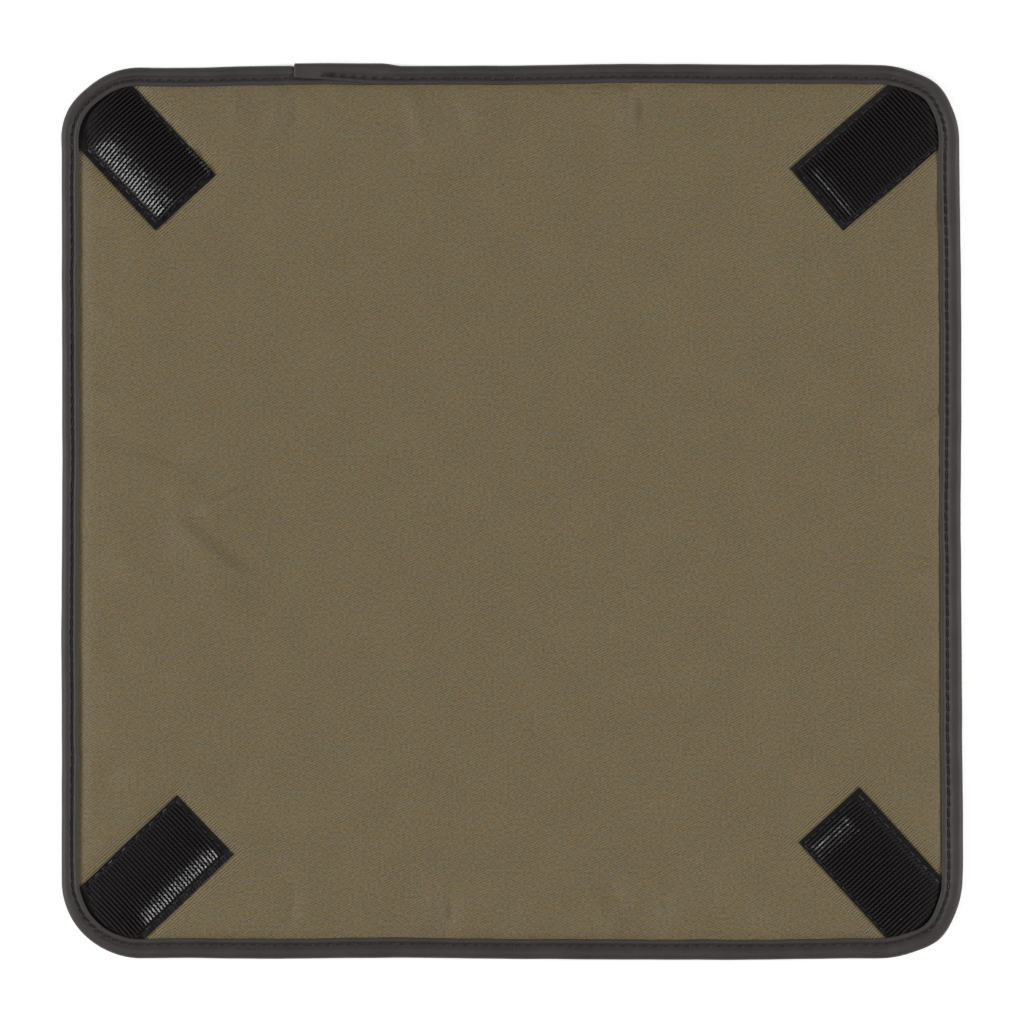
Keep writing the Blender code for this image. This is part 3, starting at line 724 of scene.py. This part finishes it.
for corner in CORNERS:
    place = tab_frame(corner)
    sewn = []
    arch = 1 - (2 * thread_shares - 1) ** 6
    for seam in TAB_SEAMS:
        starts = np.arange(TAB_END_SEAM, SEAM_LENGTH, STITCH)
        u = starts[:, None] + (0.1 + 0.8 * thread_shares) * STITCH
        sewn.append((u[..., None] + 0 * turns, seam + STITCH_THREAD * np.cos(turns) + 0 * u[..., None]))
    starts = np.arange(TAB_SEAMS[0], TAB_SEAMS[1] - STITCH, STITCH)
    v = starts[:, None] + (0.1 + 0.8 * thread_shares) * STITCH
    sewn.append((TAB_END_SEAM + STITCH_THREAD * np.cos(turns) + 0 * v[..., None], v[..., None] + 0 * turns))
    rings = []
    for u, v in sewn:
        z = TAB_BASE + tab_raised(corner, u, v) + 0.1 * MM
        z = z + STITCH_THREAD * np.sin(turns) - 0.5 * MM * (1 - arch)[:, None]
        points = to_world(place, u, v, z)
        clear = depth_inside(points[..., 0], points[..., 1]).min(axis=(1, 2)) > THREAD_INSIDE
        rings.append(points[clear])
    thread = skin("tab_stitches_" + corner, np.concatenate(rings), thread_finish)
    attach(thread, "corner_" + corner)


# Edge tape: one length of woven polyester tape, folded over the cut edges of all the layers and
# sewn through with one row of stitches. Fed by hand, it is narrower on the left than on the right.
TAPE_WIDTHS = np.array([6.6, 6.0, 5.3, 6.3]) * MM   # seen from above: right, rear, left, front
STRAIGHT = HALF - CORNER_RADIUS
QUARTER = 2 * STRAIGHT + CORNER_RADIUS * math.pi / 2
# How far the sewn edge is drawn in, from the right front corner round: at the corner, and at nine
# places along the side after it
DRAWN_IN = np.array([
    -0.3, 0.2, -0.1, 0.1, 0.35, 0.6, 0.4, 0.55, 1.0, 0.9,
    0.3, 1.2, 1.05, 1.0, 0.8, 1.3, 1.4, 1.4, 2.0, 1.5,
    1.0, -0.2, -0.2, -0.15, -0.05, -0.05, -0.3, -0.15, -0.2, 0.0,
    0.4, 0.8, 1.1, 0.9, 1.2, 0.85, 0.65, 0.6, 1.0, 0.85,
]) * MM
SIDE_PLACES = np.array([-125.6, -110, -75, -35, 0, 35, 75, 110, 125.6]) * MM
TAPE_STEP = 0.55 * MM
EDGE_STITCHES = 4 * 82
EDGE_STITCH = 4 * QUARTER / EDGE_STITCHES
TAB_LIFT = 0.75 * MM
LAP_START, LAP_END = QUARTER + 33 * MM, QUARTER + 67.9 * MM   # along the edge, on the rear left
LAP_STITCHED = QUARTER + 58.5 * MM
LAP_STEP = 0.75 * MM              # of its outer fold past the tape that it lies on
HIDDEN_START = 0.08 * MM          # of its other end inside that tape, where the two are one length
QUARTER_CORNERS = ("rear_right", "rear_left", "front_left", "front_right")
QUARTER_RUNS = ("right", "rear", "left", "front")

# The folded tape's section: share of the width, distance inward from there, height, share of the
# stitches' pull, and share of the lift over the tabs
TAPE_SECTION = np.array([
    (1, 0, 3.3, 0, 1), (1, 0.02, 3.72, 0, 1), (1, -0.13, 3.94, 0, 1), (1, -0.45, 4.04, 0, 1),
    (1, -0.9, 4.04, 0, 1), (1, -1.28, 3.94, 0.2, 1), (1, -1.52, 3.7, 0.7, 1), (1, -1.75, 3.47, 1, 1),
    (1, -2.25, 3.44, 1, 1), (1, -2.6, 3.62, 0.7, 1), (1, -3.1, 3.92, 0.2, 1), (0.45, 0, 4.16, 0, 1),
    (0, 1.95, 4.22, 0, 1), (0, 1.5, 4.2, 0, 1), (0, 1.0, 4.06, 0, 1), (0, 0.55, 3.75, 0, 0.9),
    (0, 0.24, 3.25, 0, 0.75), (0, 0.04, 2.55, 0, 0.5), (0, 0.02, 1.8, 0, 0.2), (0, 0.2, 1.05, 0, 0),
    (0, 0.55, 0.45, 0, 0), (0, 1.05, 0.12, 0, 0), (0, 1.7, 0, 0, 0), (1, -2.6, 0, 0, 0),
    (1, -2.25, 0.2, -0.5, 0), (1, -2.05, 0.3, -0.8, 0), (1, -1.85, 0.2, -0.5, 0), (1, -1.4, 0, 0, 0),
    (1, -0.12, 0, 0, 0), (1, 0, 0.1, 0, 0), (1, 0, 0.5, 0, 0), (1, -2.0, 0.78, 0, 0),
    (0, 1.3, 0.65, 0, 0), (0, 0.7, 1.2, 0, 0.1), (0, 0.55, 2.1, 0, 0.4), (0, 0.75, 3.0, 0, 0.7),
    (0, 1.4, 3.3, 0, 1), (1, -2.0, 3.3, 0, 1),
])


def waver(s, turns_round, phase):
    """A smooth unevenness round the wrap, from -1 to 1."""
    around = math.tau * s / (4 * QUARTER)
    return sum(np.sin(around * turns_round * rate + phase * rate ** 2) for rate in (1, 1.62, 2.37)) / 3


def edge_place(s):
    """Places on the outline and directions outward there, from the middle of the right edge round."""
    quarter = np.floor(s / QUARTER + 1e-9)
    run = s - quarter * QUARTER
    angle = np.clip((run - STRAIGHT) / CORNER_RADIUS, 0, math.pi / 2)
    x = STRAIGHT + CORNER_RADIUS * np.cos(angle) - np.maximum(run - QUARTER + STRAIGHT, 0)
    y = np.minimum(run, STRAIGHT) + CORNER_RADIUS * np.sin(angle)
    turn = quarter * math.pi / 2
    place = np.stack([x * np.cos(turn) - y * np.sin(turn), x * np.sin(turn) + y * np.cos(turn)], axis=-1)
    return place, np.stack([np.cos(angle + turn), np.sin(angle + turn)], axis=-1)


def tape_width(s):
    quarter = np.floor(s / QUARTER + 1e-9)
    share = smooth((s - quarter * QUARTER - STRAIGHT * 0.8) / (QUARTER - 1.6 * STRAIGHT))
    before = TAPE_WIDTHS[quarter.astype(int) % 4]
    after = TAPE_WIDTHS[(quarter.astype(int) + 1) % 4]
    return before + (after - before) * share + 0.12 * MM * waver(s, 13, 0.4) + 0.06 * MM * waver(s, 47, 2)


def drawn_in(s):
    """How far the sewn edge lies inside the straight outline."""
    knots = np.concatenate([[-QUARTER / 2], SIDE_PLACES])
    knots = np.append(np.concatenate([knots + number * QUARTER for number in range(4)]), 3.5 * QUARTER)
    depths = np.append(DRAWN_IN, DRAWN_IN[0])
    s = (s - knots[0]) % (4 * QUARTER) + knots[0]
    before = np.clip(np.searchsorted(knots, s, side="right") - 1, 0, len(depths) - 2)
    slopes = np.gradient(np.concatenate([depths[-3:-1], depths, depths[1:3]]),
                         np.concatenate([knots[-3:-1] - 4 * QUARTER, knots, knots[1:3] + 4 * QUARTER]))[2:-2]
    width = knots[before + 1] - knots[before]
    t = (s - knots[before]) / width
    ahead = depths[before + 1] - depths[before]
    return (depths[before] + ahead * t * t * (3 - 2 * t)
            + width * slopes[before] * t * (1 - t) ** 2 - width * slopes[before + 1] * t * t * (1 - t))


def stitch_pull(s):
    """Depth of the pits where the thread goes through, one at each end of a stitch."""
    along = s / EDGE_STITCH
    return np.exp(-((along - np.round(along)) * EDGE_STITCH / (0.45 * MM)) ** 2)


def on_edge(s, inward, z):
    place, outward = edge_place(s)
    inward = inward + drawn_in(s) + 0.05 * MM * waver(s, 29, 1.1)
    return np.concatenate([place - outward * inward[..., None], z[..., None]], axis=-1)


def over_tabs(x, y):
    """Share of the tape's lift where a tab runs under it."""
    lift = np.zeros_like(x)
    for corner in CORNERS:
        along, across = on_tab(corner, x, y)
        share = smooth(1 - (np.abs(across) - TAB_WIDTH / 2 - 1 * MM) / (4 * MM))
        lift = np.maximum(lift, share * (along > 0))
    return lift


def lap_narrowed(s):
    """Share of the tape's width that its lapped end keeps, as it runs askew to its cut."""
    return 1 - 0.37 * np.clip((s - QUARTER - 39.5 * MM) / (28.4 * MM), 0, 1)


def tape_rings(s, lapped=False):
    """Sections of the tape at each place along the edge, or of its lapped end."""
    share, inset, height, pull, lift = TAPE_SECTION.T[:, None, :]
    s = s[:, None] + 0 * share
    width = tape_width(s)
    inward = share * width + inset * MM
    under_lap = smooth((s - LAP_START) / (8 * MM)) * (s < LAP_END)
    z = height * MM - 0.2 * MM * pull * stitch_pull(s) + 0.1 * MM * waver(s, 31, 0.9) * (height > 4.1)
    if lapped:
        unsewn = smooth((s - LAP_STITCHED) / (2 * MM))
        inward = inward * lap_narrowed(s) - LAP_STEP * under_lap * (1 - share)
        z = z + unsewn * np.where(pull > 0, np.maximum(4.1 * MM - z, 0), 0)
        z = z + 0.4 * MM * under_lap * np.clip(height / 3, 0, 1)
        z = z + HIDDEN_START * (1 - under_lap) * np.where(height > 2, -1, 1)
        inward = inward + HIDDEN_START * (1 - under_lap) * np.where(share < 1, 1, -1)
    else:
        covered = under_lap * ((share < 1) | (inset < -2.1))
        z = z - 0.3 * MM * covered * (height > 3.3) + 0.3 * MM * under_lap * (height < 0.4)
        inward = inward + 0.3 * MM * under_lap * (share == 0)
    place, _ = edge_place(s)
    z = z + TAB_LIFT * lift * over_tabs(place[..., 0], place[..., 1])
    return on_edge(s, inward, z)


# Woven polyester binding tape: charcoal, matt and fine.
binding, tree, shader = new_finish("charcoal_polyester_tape")
cut = add(tree, "UVMap", {"uv_map": CUT_MAP}).outputs["UV"]
picks = add(tree, "TexNoise", {"Scale": 2.4, "Detail": 5, "Roughness": 0.65}, {"Vector": cut})
dust = add(tree, "TexNoise", {"Scale": 0.12, "Detail": 3}, {"Vector": cut})
tone = add(tree, "Math", {"operation": "MULTIPLY_ADD", 1: 0.6},
           {0: dust.outputs["Fac"], 2: picks.outputs["Fac"]})
ramp = add(tree, "ValToRGB", {}, {"Fac": tone.outputs["Value"]})
ramp.color_ramp.elements[0].position, ramp.color_ramp.elements[0].color = 0.4, srgb("#282524")
ramp.color_ramp.elements[1].position, ramp.color_ramp.elements[1].color = 1.0, srgb("#3e3937")
bump = add(tree, "Bump", {"Distance": 0.05 * MM, "Strength": 0.7}, {"Height": picks.outputs["Fac"]})
tree.links.new(ramp.outputs["Color"], shader.inputs["Base Color"])
tree.links.new(bump.outputs["Normal"], shader.inputs["Normal"])
shader.inputs["Roughness"].default_value = 0.6
shader.inputs["IOR"].default_value = 1.57
shader.inputs["Specular IOR Level"].default_value = 0.3

around = np.cumsum(np.hypot(*np.diff(TAPE_SECTION[:, [0, 2]] * (6, 1) + TAPE_SECTION[:, [1, 3]] * (1, 0),
                                     axis=0, prepend=0).T)) * MM
for number, corner in enumerate(QUARTER_CORNERS):
    s = np.linspace(number * QUARTER, (number + 1) * QUARTER, round(QUARTER / TAPE_STEP))
    if number == 3:
        s[-1] = 4 * QUARTER - 1e-7    # a full round would begin again
    rings = tape_rings(s)[None]
    flat = np.stack(np.broadcast_arrays(s[:, None], around[None]), axis=-1)[None]
    piece = skin("edge_tape_" + corner, rings, binding, flat=flat)
    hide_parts("binding_" + corner, "binding_" + QUARTER_RUNS[number])
    follow_fold(piece, corner)

# Its lapped end, which starts inside the other one
s = np.linspace(LAP_START - 3 * MM, LAP_END, 90)
flat = np.stack(np.broadcast_arrays(s[:, None] + 7 * MM, around[None]), axis=-1)[None]
lap = skin("edge_tape_lap", tape_rings(s, lapped=True)[None], binding, flat=flat)
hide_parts("binding_lap")
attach(lap, "corner_rear_left")


# Thread of the edge tape: a lockstitch 3.3 mm long that shows in a groove on both sides. It begins
# on the lapped end with a few short stitches sewn to and fro over each other.
def stitches(starts, length, sunk=0.6, lapped=False):
    """Tubes of thread over the tape, and under it, from each place along the edge."""
    s = starts[:, None] + (0.07 + 0.86 * thread_shares) * length
    dive = np.abs(2 * thread_shares - 1)[:, None] ** 7
    s, sides = s[..., None] + 0 * turns, turns + 0 * s[..., None]
    slant = (0.16 * MM * (2 * thread_shares - 1))[:, None]
    inward = tape_width(s) - 2.0 * MM
    if lapped:
        inward = inward * lap_narrowed(s)
    inward = inward + slant + STITCH_THREAD * np.cos(sides)
    place, _ = edge_place(s)
    lift = TAB_LIFT * over_tabs(place[..., 0], place[..., 1]) + (0.4 * MM if lapped else 0)
    upper = 3.7 * MM - sunk * MM * dive + STITCH_THREAD * np.sin(sides) + lift
    lower = 0.19 * MM + 0.4 * MM * dive + STITCH_THREAD * np.sin(sides)
    over = on_edge(s, inward, upper)
    return over if lapped else np.concatenate([over, on_edge(s, inward, lower)])


LAP_TACKS = ((2.6, 1.9), (2.1, 2.2), (1.4, 1.6), (3.4, 1.7))   # start back from its end, and length, mm

for number, corner in enumerate(QUARTER_CORNERS):
    starts = np.arange(number * EDGE_STITCHES / 4, (number + 1) * EDGE_STITCHES / 4) * EDGE_STITCH
    piece = skin("edge_stitches_" + corner, stitches(starts, EDGE_STITCH), thread_finish)
    follow_fold(piece, corner)

starts = np.arange(LAP_START + 5 * MM, LAP_STITCHED - 2 * MM, EDGE_STITCH)
rows = [stitches(starts, EDGE_STITCH, lapped=True)]
for back, length in LAP_TACKS:
    tack = stitches(np.array([LAP_STITCHED - back * MM]), length * MM, 0.4, lapped=True)
    rows.append(tack + (0, 0.25 * MM * (back - 2.4), 0.12 * MM * back))
piece = skin("lap_stitches", np.concatenate(rows), thread_finish)
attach(piece, "corner_rear_left")


# Studio: a white sheet to lie on, a large soft box low on each side, and two small ones above that
# give the hooks and folds their highlights. The sheet's glow is seen, but lights nothing else.
FLOOR_GLOW = 0.45                 # so that it stays white
ROOM_GREY = 0.15
bpy.ops.mesh.primitive_plane_add(size=12, location=(0, 0, -0.2 * MM))
floor = bpy.context.object
floor.name = "white_floor"
paper, tree, shader = new_finish("white_paper")
shader.inputs["Base Color"].default_value = srgb("#f4f4f4")
shader.inputs["Roughness"].default_value = 0.9
rays = add(tree, "LightPath", {})
seen = add(tree, "Math", {"operation": "MAXIMUM"}, {0: rays.outputs["Is Camera Ray"],
                                                    1: rays.outputs["Is Glossy Ray"]})
seen = add(tree, "Math", {"operation": "MAXIMUM"}, {0: seen.outputs["Value"],
                                                    1: rays.outputs["Is Transmission Ray"]})
glow = add(tree, "Math", {"operation": "MULTIPLY", 1: FLOOR_GLOW}, {0: seen.outputs["Value"]})
shader.inputs["Emission Color"].default_value = (1, 1, 1, 1)
tree.links.new(glow.outputs["Value"], shader.inputs["Emission Strength"])
floor.data.materials.append(paper)

world = bpy.data.worlds.new("studio")
bpy.context.scene.world = world
world.use_nodes = True
world.node_tree.nodes["Background"].inputs["Color"].default_value = (ROOM_GREY, ROOM_GREY, ROOM_GREY, 1)
world.node_tree.nodes["Background"].inputs["Strength"].default_value = 1.0

SOFT_BOXES = [                    # place, size, power
    ((-1.85, 0.05, 1.07), 0.9, 36),
    ((1.85, 0.05, 1.07), 0.9, 33),
    ((-0.87, -0.61, 2.0), 0.4, 3),
    ((0.53, -0.92, 2.0), 0.4, 3),
]
for number, (spot, size, power) in enumerate(SOFT_BOXES):
    lamp = bpy.data.lights.new(f"soft_box_{number + 1}", 'AREA')
    lamp.shape, lamp.size, lamp.energy = 'SQUARE', size, power
    holder = bpy.data.objects.new(lamp.name, lamp)
    holder.location = spot
    holder.rotation_euler = (-Vector(spot)).to_track_quat('-Z', 'Y').to_euler()
    bpy.context.scene.collection.objects.link(holder)

# Camera, straight above and far enough that the sides hardly show.
CAMERA_HEIGHT = 3.3
FIELD = 1024 / 3.225 * MM         # across the picture, at the height of the tape
lens = bpy.data.cameras.new("camera")
lens.sensor_width = 36
lens.lens = 36 * (CAMERA_HEIGHT - 0.004) / FIELD
lens.clip_start, lens.clip_end = 0.1, 20
camera = bpy.data.objects.new("camera", lens)
camera.location = (-0.00016, -0.00016, CAMERA_HEIGHT)
bpy.context.scene.collection.objects.link(camera)
bpy.context.scene.camera = camera
bpy.context.scene.view_settings.view_transform = 'Standard'
